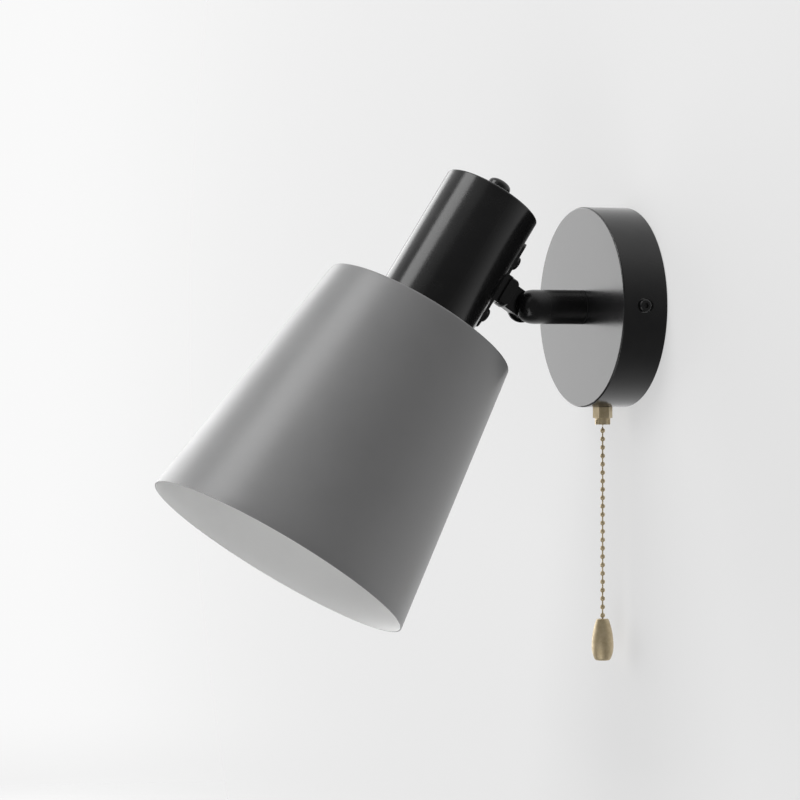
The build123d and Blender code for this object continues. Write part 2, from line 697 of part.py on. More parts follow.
shell_outer_r = shell_inner_r + shell_wall
with BuildPart() as screw_shell:
    with BuildSketch(head_section):
        with BuildLine():
            Polyline(
                (contact_width, -ceramic_bottom),
                (shell_outer_r, -ceramic_bottom),
                (shell_outer_r, -shell_mouth),
                (shell_inner_r, -shell_mouth),
                (shell_inner_r, -shell_narrow_end),
                (shell_narrow_r, -shell_narrow_end),
                (shell_narrow_r, -ceramic_bottom - shell_wall),
                (contact_width, -ceramic_bottom - shell_wall),
                close=True,
            )
        make_face()
    revolve(axis=head_axis)
finish(screw_shell, "screw_shell")

contact_top = -ceramic_bottom
with BuildPart() as centre_contact:
    with BuildSketch(head_section):
        with BuildLine():
            Polyline(
                (-contact_width + 1.0, contact_top),
                (-contact_width + 1.0, contact_top - contact_strip),
                (-contact_width + 3.0, contact_top - contact_strip),
                (0, contact_top - contact_rise - contact_strip / 2),
                (2.5, contact_top - contact_rise - contact_strip),
                (2.5, contact_top - contact_rise),
                (0, contact_top - contact_rise + contact_strip),
                (-contact_width + 3.6, contact_top),
                close=True,
            )
        make_face()
    extrude(amount=contact_width / 2, both=True)
finish(centre_contact, "centre_contact")

# ---- shade ring: clamps the shade's top plate against the holder's flange -----------------------------------------
shade_plate_low = cup_length + shade_wall
ring_bore_r = holder_dia / 2 + running_gap
with BuildPart() as shade_ring:
    with BuildSketch(cup_plane.offset(-shade_plate_low)):
        Circle(shade_ring_dia / 2)
    extrude(amount=-shade_ring_flange)
    with BuildSketch(cup_plane.offset(-shade_plate_low)):
        Circle(shade_ring_collar_dia / 2)
    extrude(amount=-shade_ring_height)
    with BuildSketch(cup_plane.offset(-shade_plate_low)):
        with PolarLocations(shade_ring_dia / 2, ring_rib_count):
            Circle(1.1)
    extrude(amount=-shade_ring_flange, mode=Mode.SUBTRACT)
    with BuildSketch(cup_plane.offset(-shade_plate_low)):
        Circle(ring_bore_r)
    extrude(amount=-shade_ring_height, mode=Mode.SUBTRACT)
finish(shade_ring, "shade_ring")

# ---- shade: a spun cone with a flat top plate --------------------------------------------------------------------
shade_bottom = cup_length + shade_height
cone_angle = math.atan2((shade_bottom_dia - shade_top_dia) / 2, shade_height)
wall_across = shade_wall / math.cos(cone_angle)
with BuildPart() as shade:
    with BuildSketch(head_section):
        with BuildLine():
            Polyline(
                (shade_hole_dia / 2, -cup_length),
                (shade_top_dia / 2, -cup_length),
                (shade_bottom_dia / 2, -shade_bottom),
                (shade_bottom_dia / 2 - wall_across, -shade_bottom),
                (shade_top_dia / 2 - wall_across + math.tan(cone_angle) * shade_wall, -shade_plate_low),
                (shade_hole_dia / 2, -shade_plate_low),
                close=True,
            )
        make_face()
        fillet(vertices().group_by(Axis.Y)[-1].sort_by(Axis.X)[-1], shade_top_edge_r)
        fillet(vertices().group_by(Axis.Y)[0], shade_lip_r)
    revolve(axis=head_axis)
finish(shade, "shade")

# ---- pull switch: case, lid, bushing and nuts ---------------------------------------------------------------------
hex_corner_r = hex_nut_flats / math.sqrt(3)
rim_seat_z = -math.sqrt(canopy_inner_r ** 2 - hex_corner_r ** 2)     # the nut's corners rest on the rim
case_bottom = rim_seat_z + inner_hex_height
case_top = case_bottom + case_height
with BuildPart() as switch_case:
    with BuildSketch(pull_plane.offset(case_bottom)):
        RectangleRounded(case_width, case_depth, case_corner_r)
    extrude(amount=case_height - case_wall)
    with BuildSketch(pull_plane.offset(case_bottom + case_wall)):
        RectangleRounded(case_width - 2 * case_wall, case_depth - 2 * case_wall, case_corner_r / 2)
    extrude(amount=case_height, mode=Mode.SUBTRACT)
    with BuildSketch(pull_plane.offset(case_bottom)):
        Circle(bushing_dia / 2 + seat_gap)
    extrude(amount=case_wall, mode=Mode.SUBTRACT)
finish(switch_case, "switch_case")

with BuildPart() as switch_lid:
    with BuildSketch(pull_plane.offset(case_top - case_wall)):
        RectangleRounded(case_width, case_depth, case_corner_r)
    extrude(amount=case_wall)
    with BuildSketch(pull_plane.offset(case_top)):
        with Locations((case_width / 4, 0), (-case_width / 4, 0)):
            Circle(lead_dia / 2 + seat_gap)
    extrude(amount=-case_wall, mode=Mode.SUBTRACT)
finish(switch_lid, "switch_lid")

hex_nut_low = -canopy_r - hex_nut_height
ring_nut_low = hex_nut_low - ring_nut_height
bushing_low = ring_nut_low + ring_nut_lip
bushing_top = case_bottom + case_wall + bushing_flange
with BuildPart() as switch_bushing:
    with BuildSketch(pull_plane.offset(bushing_low)):
        Circle(bushing_dia / 2)
    extrude(amount=bushing_top - bushing_low)
    with BuildSketch(pull_plane.offset(case_bottom + case_wall)):
        Circle(bushing_flange_dia / 2)
    extrude(amount=bushing_flange)
    with BuildSketch(pull_plane.offset(bushing_low)):
        Circle(bushing_bore / 2)
    extrude(amount=bushing_top - bushing_low, mode=Mode.SUBTRACT)
finish(switch_bushing, "switch_bushing")

with BuildPart() as switch_inner_nut:
    with BuildSketch(pull_plane.offset(case_bottom)):
        RegularPolygon(hex_nut_flats / 2, 6, major_radius=False)
        Circle(bushing_dia / 2 + thread_gap, mode=Mode.SUBTRACT)
    extrude(amount=-inner_hex_height)
finish(switch_inner_nut, "switch_inner_nut")

with BuildPart() as switch_hex_nut:
    with BuildSketch(pull_plane.offset(hex_nut_low)):
        RegularPolygon(hex_nut_flats / 2, 6, major_radius=False, rotation=14)
        Circle(bushing_dia / 2 + thread_gap, mode=Mode.SUBTRACT)
    extrude(amount=hex_nut_height)
finish(switch_hex_nut, "switch_hex_nut")

with BuildPart() as switch_ring_nut:
    with BuildSketch(pull_plane.offset(ring_nut_low)):
        Circle(ring_nut_dia / 2)
    extrude(amount=ring_nut_height)
    with BuildSketch(pull_plane.offset(bushing_low)):
        Circle(bushing_dia / 2 + thread_gap)
    extrude(amount=ring_nut_height - ring_nut_lip, mode=Mode.SUBTRACT)
    with BuildSketch(pull_plane.offset(ring_nut_low)):
        Circle(ring_nut_mouth / 2)
    extrude(amount=ring_nut_lip, mode=Mode.SUBTRACT)
    with BuildSketch(pull_plane.offset(ring_nut_low)):
        with PolarLocations(ring_nut_dia / 2, ring_notch_count, start_angle=22.6):
            Rectangle(ring_notch_depth * 2, ring_notch_width)
    extrude(amount=ring_nut_height * 0.75, mode=Mode.SUBTRACT)
finish(switch_ring_nut, "switch_ring_nut")

# ---- plunger with the top of the chain, and its return spring ---------------------------------------------------------
first_bead_z = ring_nut_low - first_bead_drop
swing_z = first_bead_z + bead_pitch / 2
collar_top = case_top - case_wall - plunger_drop + plunger_collar
collar_low = collar_top - plunger_collar
plunger_low = swing_z + 2 * bead_pitch - bead_dia / 2
with BuildPart() as pull_plunger:
    with BuildSketch(pull_plane.offset(plunger_low)):
        Circle(plunger_dia / 2)
    extrude(amount=collar_top + plunger_stub - plunger_low)
    with BuildSketch(pull_plane.offset(collar_low)):
        Circle(plunger_collar_dia / 2)
    extrude(amount=plunger_collar)
finish(pull_plunger, "pull_plunger")

with BuildPart() as upper_chain:
    with BuildSketch(pull_plane.offset(swing_z + link_dia / 2 + 0.05)):
        Circle(link_dia / 2)
    extrude(amount=plunger_low - swing_z - link_dia / 2 - 0.05)
    with Locations((0, -pull_depth, first_bead_z + bead_pitch)):
        Sphere(bead_dia / 2)
finish(upper_chain, "upper_chain")

spring_low = bushing_top
spring_length = collar_low - spring_low
with BuildPart() as return_spring:
    with BuildLine(pull_plane.offset(spring_low + spring_wire / 2)) as spring_path:
        Helix((spring_length - spring_wire) / spring_turns, spring_length - spring_wire, spring_dia / 2)
    with BuildSketch(Plane(spring_path.line @ 0, z_dir=spring_path.line % 0)):
        Circle(spring_wire / 2)
    sweep(is_frenet=True)
finish(return_spring, "return_spring")

# ---- hanging bead chain, one revolved string of beads and links ---------------------------------------------------------
last_bead_z = first_bead_z - (bead_count - 1) * bead_pitch
knob_top = last_bead_z - knob_drop
link_r = link_dia / 2
bead_r = bead_dia / 2
neck_rise = math.sqrt(bead_r ** 2 - link_r ** 2)    # from a bead's centre to where the link leaves it
with BuildPart() as bead_chain:
    with BuildSketch(pull_section):
        with BuildLine():
            RadiusArc((0, swing_z + link_r), (link_r, swing_z), link_r)
            upper = (link_r, swing_z)
            for i in range(bead_count):
                bead_z = first_bead_z - i * bead_pitch
                Line(upper, (link_r, bead_z + neck_rise))
                ThreePointArc((link_r, bead_z + neck_rise), (bead_r, bead_z), (link_r, bead_z - neck_rise))
                upper = (link_r, bead_z - neck_rise)
            Line(upper, (link_r, knob_top - knob_hole_depth))
            Line((link_r, knob_top - knob_hole_depth), (0, knob_top - knob_hole_depth))
            Line((0, knob_top - knob_hole_depth), (0, swing_z + link_r))
        make_face()
    revolve(axis=pull_axis)
finish(bead_chain, "bead_chain")

# ---- pull knob, threaded on the chain's last link -------------------------------------------------------------------------
widest_z = knob_top - knob_max_at
knob_low = knob_top - knob_length
knob_foot = (knob_bottom_dia / 2 + knob_foot_r * 0.8, knob_low + knob_foot_r)
with BuildPart() as pull_knob:
    with BuildSketch(pull_section):
        with BuildLine():
            Line((0, knob_top), (knob_top_dia / 2 - 0.4, knob_top))
            Line((knob_top_dia / 2 - 0.4, knob_top), (knob_top_dia / 2, knob_top - 0.4))
            Spline(
                (knob_top_dia / 2, knob_top - 0.4),
                (knob_max_dia / 2, widest_z),
                tangents=((0.36, -1), (0, -1)),
            )
            Spline((knob_max_dia / 2, widest_z), knob_foot, tangents=((0, -1), (-0.42, -1)))
            Spline(knob_foot, (knob_bottom_dia / 2 - 0.6, knob_low), tangents=((-0.42, -1), (-1, 0)))
            Line((knob_bottom_dia / 2 - 0.6, knob_low), (0, knob_low))
            Line((0, knob_low), (0, knob_top))
        make_face()
    revolve(axis=pull_axis)
    with BuildSketch(pull_plane.offset(knob_top)):
        Circle(link_dia / 2 + thread_gap)
    extrude(amount=-knob_hole_depth, mode=Mode.SUBTRACT)
finish(pull_knob, "pull_knob")

# ---- insulated leads inside the canopy ---------------------------------------------------------------------------------------
core_offset = lead_dia / 2 + 0.25
bend_y = -(bracket_thickness + grommet_flange + lead_dia / 2 + 0.6)


def lead(name, points, radii):
    """Sweep one insulated lead along straight runs joined by tangent arcs."""
    with BuildPart() as block:
        with BuildLine() as route:
            FilletPolyline(*points, radius=radii)
        with BuildSketch(Plane(route.line @ 0, z_dir=route.line % 0)):
            Circle(lead_dia / 2)
        sweep()
    finish(block, name)


terminal_y = -terminal_bore_depth
switch_y = -pull_depth
lead(
    "lead_live",
    [
        (terminal_pitch, terminal_y, terminal_bottom),
        (terminal_pitch, terminal_y, terminal_bottom - 5),
        (12.5, terminal_y - 1.0, 3.0),
        (12.5, switch_y + 1.0, -14.0),
        (case_width / 4, switch_y, case_top + 5),
        (case_width / 4, switch_y, case_top),
    ],
    3.5,
)
lead(
    "lead_neutral",
    [
        (0, terminal_y, terminal_bottom),
        (0, terminal_y, terminal_bottom - 4),
        (-core_offset, bend_y, 8.0),
        (-core_offset, bend_y, 0),
        (-core_offset, -lead_start, 0),
    ],
    3.0,
)
lead(
    "lead_switched",
    [
        (-case_width / 4, switch_y, case_top),
        (-case_width / 4, switch_y, case_top + 5),
        (core_offset, bend_y, -10.0),
        (core_offset, bend_y, 0),
        (core_offset, -lead_start, 0),
    ],
    3.0,
)

chain_length = swing_z - knob_top
print(f"hanging chain {chain_length:.1f} mm, lowest point {knob_low:.1f} mm")
print(f"spring wire gap between turns {(spring_length - spring_wire) / spring_turns - spring_wire:.2f} mm")
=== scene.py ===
import bpy
import json
import math
import numpy as np
from mathutils import Matrix, Vector


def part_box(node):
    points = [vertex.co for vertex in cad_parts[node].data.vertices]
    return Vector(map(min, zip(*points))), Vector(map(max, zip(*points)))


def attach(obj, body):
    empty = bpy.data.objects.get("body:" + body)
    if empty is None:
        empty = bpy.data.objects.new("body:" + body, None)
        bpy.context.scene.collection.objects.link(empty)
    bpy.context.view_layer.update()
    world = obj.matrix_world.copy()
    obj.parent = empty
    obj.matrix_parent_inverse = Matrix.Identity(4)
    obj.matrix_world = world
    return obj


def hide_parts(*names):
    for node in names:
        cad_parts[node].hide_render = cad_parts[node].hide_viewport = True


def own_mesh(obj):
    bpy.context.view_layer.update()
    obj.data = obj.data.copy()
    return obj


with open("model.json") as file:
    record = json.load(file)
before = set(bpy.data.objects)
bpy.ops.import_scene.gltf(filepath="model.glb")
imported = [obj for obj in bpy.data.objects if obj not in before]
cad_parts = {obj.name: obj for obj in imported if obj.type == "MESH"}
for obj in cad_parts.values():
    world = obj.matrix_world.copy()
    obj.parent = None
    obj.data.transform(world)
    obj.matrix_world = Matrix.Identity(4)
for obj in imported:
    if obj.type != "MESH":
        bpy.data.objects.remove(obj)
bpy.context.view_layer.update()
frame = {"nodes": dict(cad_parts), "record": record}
print("frame loaded")

# camera at the photograph's angle
cameraView = {"azimuth": 67.64, "elevation": 0.29, "distance": 1.9, "pixelsPerMm": 1.991,
              "aimRight": -0.11205, "aimUp": -0.04643, "imageWidth": 800, "sensorWidth": 36,
              "nearClip": 0.05, "farClip": 30}


def makeCamera(view):
    a, e = math.radians(view["azimuth"]), math.radians(view["elevation"])
    back = Vector((math.sin(a) * math.cos(e), -math.cos(a) * math.cos(e), math.sin(e)))
    right = Vector((math.cos(a), math.sin(a), 0))
    up = back.cross(right)
    place = right * view["aimRight"] + up * view["aimUp"] + back * view["distance"]
    data = bpy.data.cameras.new("photoCamera")
    data.sensor_width = view["sensorWidth"]
    data.lens = view["pixelsPerMm"] * view["distance"] * 1000 / view["imageWidth"] * data.sensor_width
    data.clip_start, data.clip_end = view["nearClip"], view["farClip"]
    camera = bpy.data.objects.new("photoCamera", data)
    turn = Matrix((right, up, back)).transposed().to_4x4()
    camera.matrix_world = Matrix.Translation(place) @ turn
    bpy.context.collection.objects.link(camera)
    bpy.context.scene.camera = camera


makeCamera(cameraView)
bpy.context.scene.view_settings.view_transform = "Standard"
print("camera placed")


# small helpers for node trees
def addNode(tree, kind, **settings):
    node = tree.nodes.new(kind)
    for name, value in settings.items():
        setattr(node, name, value)
    return node


def wire(tree, source, target):
    tree.links.new(source, target)


def mathNode(tree, operation, first, second=0.5, clamp=False):
    node = addNode(tree, "ShaderNodeMath", operation=operation, use_clamp=clamp)
    for socket, value in zip(node.inputs, (first, second)):
        if isinstance(value, (int, float)):
            socket.default_value = value
        else:
            wire(tree, value, socket)
    return node.outputs[0]


def rangeNode(tree, value, low, high, newLow=0.0, newHigh=1.0, smooth=False):
    node = addNode(tree, "ShaderNodeMapRange", interpolation_type="SMOOTHSTEP" if smooth else "LINEAR")
    wire(tree, value, node.inputs["Value"])
    for name, number in (("From Min", low), ("From Max", high), ("To Min", newLow), ("To Max", newHigh)):
        node.inputs[name].default_value = number
    return node.outputs["Result"]


def noiseNode(tree, vector, scale, detail=2.0, roughness=0.5):
    node = addNode(tree, "ShaderNodeTexNoise")
    wire(tree, vector, node.inputs["Vector"])
    if isinstance(scale, (int, float)):
        node.inputs["Scale"].default_value = scale
    else:
        wire(tree, scale, node.inputs["Scale"])
    node.inputs["Detail"].default_value = detail
    node.inputs["Roughness"].default_value = roughness
    return node.outputs["Fac"]


def newGroup(name, inputs, outputs):
    tree = bpy.data.node_groups.new(name, "ShaderNodeTree")
    for label, kind, value in inputs:
        socket = tree.interface.new_socket(label, in_out="INPUT", socket_type=kind)
        if value is not None:
            socket.default_value = value
    for label, kind in outputs:
        tree.interface.new_socket(label, in_out="OUTPUT", socket_type=kind)
    return tree, tree.nodes.new("NodeGroupInput"), tree.nodes.new("NodeGroupOutput")


# shared effects
def makeGrainGroup():
    # sprayed or moulded skin: fine lumps for the height, broad clouds for colour and roughness
    tree, given, made = newGroup("skinGrain",
                                 [("Vector", "NodeSocketVector", None), ("Lump Scale", "NodeSocketFloat", 900.0),
                                  ("Cloud Scale", "NodeSocketFloat", 45.0)],
                                 [("Height", "NodeSocketFloat"), ("Cloud", "NodeSocketFloat"),
                                  ("Speck", "NodeSocketFloat")])
    lumps = noiseNode(tree, given.outputs["Vector"], given.outputs["Lump Scale"], 2.0, 0.45)
    fineScale = mathNode(tree, "MULTIPLY", given.outputs["Lump Scale"], 3.1)
    fine = noiseNode(tree, given.outputs["Vector"], fineScale, 1.0, 0.5)
    height = mathNode(tree, "ADD", mathNode(tree, "MULTIPLY", lumps, 0.8), mathNode(tree, "MULTIPLY", fine, 0.2))
    wire(tree, height, made.inputs["Height"])
    cloud = noiseNode(tree, given.outputs["Vector"], given.outputs["Cloud Scale"], 4.0, 0.6)
    wire(tree, rangeNode(tree, cloud, 0.3, 0.7), made.inputs["Cloud"])
    wire(tree, rangeNode(tree, fine, 0.62, 0.75), made.inputs["Speck"])
    return tree


def makeEdgeGroup():
    # lighter edges: where the rounded-off normal leaves the face's own, broken up by a noise; a painted highlight on
    # the black and grey paints, wear on the metal finishes
    tree, given, made = newGroup("edgeWearAndHighlight",
                                 [("Vector", "NodeSocketVector", None), ("Radius", "NodeSocketFloat", 0.0004),
                                  ("Break Scale", "NodeSocketFloat", 350.0)],
                                 [("Mask", "NodeSocketFloat")])
    bevel = addNode(tree, "ShaderNodeBevel", samples=4)
    wire(tree, given.outputs["Radius"], bevel.inputs["Radius"])
    face = addNode(tree, "ShaderNodeNewGeometry")
    dot = addNode(tree, "ShaderNodeVectorMath", operation="DOT_PRODUCT")
    wire(tree, bevel.outputs["Normal"], dot.inputs[0])
    wire(tree, face.outputs["Normal"], dot.inputs[1])
    bend = rangeNode(tree, dot.outputs["Value"], 0.995, 0.86)
    scatter = noiseNode(tree, given.outputs["Vector"], given.outputs["Break Scale"], 3.0, 0.6)
    broken = rangeNode(tree, scatter, 0.38, 0.62)
    wire(tree, mathNode(tree, "MULTIPLY", bend, broken, True), made.inputs["Mask"])
    return tree


def makeDustGroup():
    # dust that settles on what faces up, in patches
    tree, given, made = newGroup("dustFall",
                                 [("Vector", "NodeSocketVector", None), ("Patch Scale", "NodeSocketFloat", 60.0),
                                  ("Amount", "NodeSocketFloat", 0.05)],
                                 [("Mask", "NodeSocketFloat")])
    face = addNode(tree, "ShaderNodeNewGeometry")
    split = addNode(tree, "ShaderNodeSeparateXYZ")
    wire(tree, face.outputs["Normal"], split.inputs[0])
    upward = rangeNode(tree, split.outputs["Z"], 0.2, 1.0)
    scatter = noiseNode(tree, given.outputs["Vector"], given.outputs["Patch Scale"], 6.0, 0.7)
    patch = rangeNode(tree, scatter, 0.35, 0.7)
    both = mathNode(tree, "MULTIPLY", upward, patch)
    wire(tree, mathNode(tree, "MULTIPLY", both, given.outputs["Amount"], True), made.inputs["Mask"])
    return tree


def makeTurningGroup():
    # fine rings left by turning, across the vector's third axis, over a slow tarnish
    tree, given, made = newGroup("turningRings",
                                 [("Vector", "NodeSocketVector", None), ("Ring Scale", "NodeSocketFloat", 9000.0),
                                  ("Tarnish Scale", "NodeSocketFloat", 160.0)],
                                 [("Height", "NodeSocketFloat"), ("Tarnish", "NodeSocketFloat")])
    split = addNode(tree, "ShaderNodeSeparateXYZ")
    wire(tree, given.outputs["Vector"], split.inputs[0])
    rings = addNode(tree, "ShaderNodeTexNoise", noise_dimensions="1D")
    wire(tree, mathNode(tree, "MULTIPLY", split.outputs["Z"], given.outputs["Ring Scale"]), rings.inputs["W"])
    rings.inputs["Scale"].default_value = 1.0
    rings.inputs["Detail"].default_value = 2.0
    wire(tree, rings.outputs["Fac"], made.inputs["Height"])
    tarnish = noiseNode(tree, given.outputs["Vector"], given.outputs["Tarnish Scale"], 5.0, 0.65)
    wire(tree, rangeNode(tree, tarnish, 0.35, 0.7), made.inputs["Tarnish"])
    return tree


groups = {"grain": makeGrainGroup(), "edge": makeEdgeGroup(), "dust": makeDustGroup(), "rings": makeTurningGroup()}
print("shared effects made")


# materials
def addGroup(tree, group, vector, **values):
    node = addNode(tree, "ShaderNodeGroup", node_tree=group)
    wire(tree, vector, node.inputs["Vector"])
    for label, value in values.items():
        node.inputs[label.replace("_", " ")].default_value = value
    return node


def blendColour(tree, mask, first, second):
    node = addNode(tree, "ShaderNodeMix", data_type="RGBA")
    wire(tree, mask, node.inputs["Factor"])
    for socket, colour in ((node.inputs["A"], first), (node.inputs["B"], second)):
        if isinstance(colour, tuple):
            socket.default_value = (*colour, 1)
        else:
            wire(tree, colour, socket)
    return node.outputs["Result"]


shared = {"dustColour": (0.55, 0.53, 0.5), "dustRough": 0.6, "tarnishRough": 0.25, "speckShare": 0.5,
          "bumpStrength": 0.5}


def makeFinish(name, look):
    material = bpy.data.materials.new(name)
    material.use_nodes = True
    tree = material.node_tree
    shader = tree.nodes["Principled BSDF"]
    for label, value in look.get("shader", {}).items():
        shader.inputs[label].default_value = value
    place = addNode(tree, "ShaderNodeTexCoord").outputs["Object"]
    if "tilt" in look:
        turn = addNode(tree, "ShaderNodeMapping", vector_type="TEXTURE")
        wire(tree, place, turn.inputs["Vector"])
        turn.inputs["Rotation"].default_value = (-look["tilt"], 0, 0)
        place = turn.outputs["Vector"]
    grain = addGroup(tree, groups["grain"], place, Lump_Scale=look["lump"], Cloud_Scale=look["cloud"])
    colour = blendColour(tree, grain.outputs["Cloud"], look["colour"], look["colourTwo"])
    height = grain.outputs["Height"]
    rough = rangeNode(tree, grain.outputs["Cloud"], 0.0, 1.0, look["rough"][0], look["rough"][1])
    if "rings" in look:
        rings = addGroup(tree, groups["rings"], place, Ring_Scale=look["rings"], Tarnish_Scale=look["tarnishScale"])
        tarnish = mathNode(tree, "MULTIPLY", rings.outputs["Tarnish"], look["tarnishAmount"])
        colour = blendColour(tree, tarnish, colour, look["tarnish"])
        rough = mathNode(tree, "ADD", rough, mathNode(tree, "MULTIPLY", tarnish, shared["tarnishRough"]))
        ringHeight = mathNode(tree, "MULTIPLY", rings.outputs["Height"], look["ringDepth"])
        height = mathNode(tree, "ADD", height, ringHeight)
    # lighter edges: a painted highlight on the black and grey paints, wear on the metals
    if "edge" in look:
        edge = addGroup(tree, groups["edge"], place, Radius=look["edgeRadius"], Break_Scale=look["edgeBreak"])
        wornAndHighlit = mathNode(tree, "MULTIPLY", edge.outputs["Mask"], look["edgeAmount"])
        colour = blendColour(tree, wornAndHighlit, colour, look["edge"])
    if "speck" in look:
        specks = mathNode(tree, "MULTIPLY", grain.outputs["Speck"], shared["speckShare"])
        colour = blendColour(tree, specks, colour, look["speck"])
    if "dust" in look:
        dust = addGroup(tree, groups["dust"], place, Patch_Scale=look["dustScale"], Amount=look["dust"])
        colour = blendColour(tree, dust.outputs["Mask"], colour, shared["dustColour"])
        rough = mathNode(tree, "ADD", rough, mathNode(tree, "MULTIPLY", dust.outputs["Mask"], shared["dustRough"]))
    wire(tree, colour, shader.inputs["Base Color"])
    wire(tree, rough, shader.inputs["Roughness"])
    bump = addNode(tree, "ShaderNodeBump")
    bump.inputs["Strength"].default_value = shared["bumpStrength"]
    bump.inputs["Distance"].default_value = look["bump"]
    wire(tree, height, bump.inputs["Height"])
    wire(tree, bump.outputs["Normal"], shader.inputs["Normal"])
    return material


tiltAtRest = math.radians(32.8)
# the edge colours of the black and grey paints are painted highlights; those of the metals are wear
finishes = {
    "black_paint": {"colour": (0.0085, 0.0085, 0.0088), "colourTwo": (0.012, 0.012, 0.0122), "rough": (0.18, 0.22),
                    "lump": 1300, "cloud": 70, "bump": 0.000035, "shader": {"IOR": 1.5, "Specular IOR Level": 0.4},
                    "edge": (0.05, 0.05, 0.05), "edgeRadius": 0.0005, "edgeBreak": 420, "edgeAmount": 0.35,
                    "dust": 0.02, "dustScale": 90},
    "grey_paint": {"colour": (0.184, 0.184, 0.185), "colourTwo": (0.196, 0.196, 0.197), "rough": (0.35, 0.4),
                   "lump": 1500, "cloud": 30, "bump": 0.00002, "tilt": tiltAtRest, "shader": {"IOR": 1.5},
                   "edge": (0.36, 0.36, 0.36), "edgeRadius": 0.0006, "edgeBreak": 260, "edgeAmount": 0.3,
                   "dust": 0.03, "dustScale": 60},
    "white_enamel": {"colour": (0.84, 0.84, 0.835), "colourTwo": (0.86, 0.86, 0.855), "rough": (0.4, 0.46),
                     "lump": 1500, "cloud": 30, "bump": 0.00002, "tilt": tiltAtRest},
    "aged_brass": {"colour": (0.58, 0.48, 0.31), "colourTwo": (0.5, 0.41, 0.25), "rough": (0.42, 0.5),
                   "lump": 2600, "cloud": 300, "bump": 0.00001, "shader": {"Metallic": 0.5},
                   "rings": 14000, "ringDepth": 0.8, "tarnish": (0.27, 0.19, 0.1), "tarnishScale": 420,
                   "tarnishAmount": 0.35, "edge": (0.72, 0.64, 0.46), "edgeRadius": 0.0003, "edgeBreak": 900,
                   "edgeAmount": 0.5},
    "zinc_steel": {"colour": (0.52, 0.53, 0.53), "colourTwo": (0.6, 0.6, 0.6), "rough": (0.3, 0.45),
                   "lump": 1800, "cloud": 350, "bump": 0.00001, "shader": {"Metallic": 1.0},
                   "edge": (0.72, 0.72, 0.71), "edgeRadius": 0.0004, "edgeBreak": 500, "edgeAmount": 0.6,
                   "dust": 0.05, "dustScale": 120},
    "spring_steel": {"colour": (0.44, 0.44, 0.45), "colourTwo": (0.5, 0.5, 0.5), "rough": (0.22, 0.32),
                     "lump": 3000, "cloud": 500, "bump": 0.000006, "shader": {"Metallic": 1.0}},
    "brass_contact": {"colour": (0.72, 0.56, 0.3), "colourTwo": (0.66, 0.5, 0.26), "rough": (0.22, 0.32),
                      "lump": 2200, "cloud": 260, "bump": 0.000008, "shader": {"Metallic": 1.0},
                      "edge": (0.85, 0.72, 0.46), "edgeRadius": 0.0003, "edgeBreak": 600, "edgeAmount": 0.5},
    "black_nylon": {"colour": (0.022, 0.022, 0.022), "colourTwo": (0.03, 0.03, 0.03), "rough": (0.55, 0.65),
                    "lump": 2500, "cloud": 200, "bump": 0.00001},
    "white_nylon": {"colour": (0.74, 0.73, 0.69), "colourTwo": (0.79, 0.78, 0.74), "rough": (0.45, 0.55),
                    "lump": 1800, "cloud": 150, "bump": 0.00001,
                    "shader": {"Subsurface Weight": 0.05, "Subsurface Scale": 0.001}},
    "holder_plastic": {"colour": (0.76, 0.75, 0.71), "colourTwo": (0.8, 0.79, 0.75), "rough": (0.25, 0.32),
                       "lump": 1200, "cloud": 90, "bump": 0.00001, "dust": 0.03, "dustScale": 90},
    "holder_ceramic": {"colour": (0.8, 0.78, 0.73), "colourTwo": (0.84, 0.82, 0.78), "rough": (0.12, 0.2),
                       "lump": 600, "cloud": 120, "bump": 0.00003, "speck": (0.45, 0.4, 0.33),
                       "shader": {"Coat Weight": 0.6, "Coat Roughness": 0.08}},
    "switch_plastic": {"colour": (0.03, 0.03, 0.031), "colourTwo": (0.045, 0.045, 0.046), "rough": (0.35, 0.45),
                       "lump": 2200, "cloud": 160, "bump": 0.000015, "dust": 0.05, "dustScale": 150},
    "grommet_rubber": {"colour": (0.02, 0.02, 0.02), "colourTwo": (0.032, 0.031, 0.03), "rough": (0.65, 0.8),
                       "lump": 1600, "cloud": 220, "bump": 0.00003},
    "lead_brown": {"colour": (0.13, 0.055, 0.025), "colourTwo": (0.17, 0.075, 0.035), "rough": (0.4, 0.5),
                   "lump": 1500, "cloud": 180, "bump": 0.00001},
    "lead_blue": {"colour": (0.025, 0.09, 0.31), "colourTwo": (0.035, 0.12, 0.37), "rough": (0.4, 0.5),
                  "lump": 1500, "cloud": 180, "bump": 0.00001},
    "lead_sheath": {"colour": (0.04, 0.04, 0.04), "colourTwo": (0.055, 0.055, 0.055), "rough": (0.5, 0.6),
                    "lump": 1500, "cloud": 180, "bump": 0.00002},
}
materials = {name: makeFinish(name, look) for name, look in finishes.items()}
for part in frame["record"]["subparts"]:
    node = frame["nodes"][part["node"]]
    for i in range(len(node.material_slots)):
        node.material_slots[i].material = materials[part["material_slot"]]
print("materials made")


# surfaces
# the cup's top centre, from the tilt axis: off the wall, across to the cup's own axis, then up along it
headPlace = {"tiltAxis": 0.0533, "across": 0.04464, "along": 0.0354}
headTop = Vector((0, -headPlace["tiltAxis"], 0))
headTop = headTop - headPlace["across"] * Vector((0, math.cos(tiltAtRest), -math.sin(tiltAtRest)))
headTop = headTop + headPlace["along"] * Vector((0, math.sin(tiltAtRest), math.cos(tiltAtRest)))
headUp = (0, math.sin(tiltAtRest), math.cos(tiltAtRest))


def meshObject(name, points, faces, slots, faceSlot=None, sharpAngle=35):
    mesh = bpy.data.meshes.new(name)
    mesh.from_pydata(points, [], faces)
    for slot in slots:
        mesh.materials.append(materials[slot])
    if faceSlot is not None:
        mesh.polygons.foreach_set("material_index", faceSlot)
    mesh.polygons.foreach_set("use_smooth", np.ones(len(faces), dtype=bool))
    mesh.set_sharp_from_angle(angle=math.radians(sharpAngle))
    mesh.update()
    made = bpy.data.objects.new(name, mesh)
    bpy.context.collection.objects.link(made)
    return made


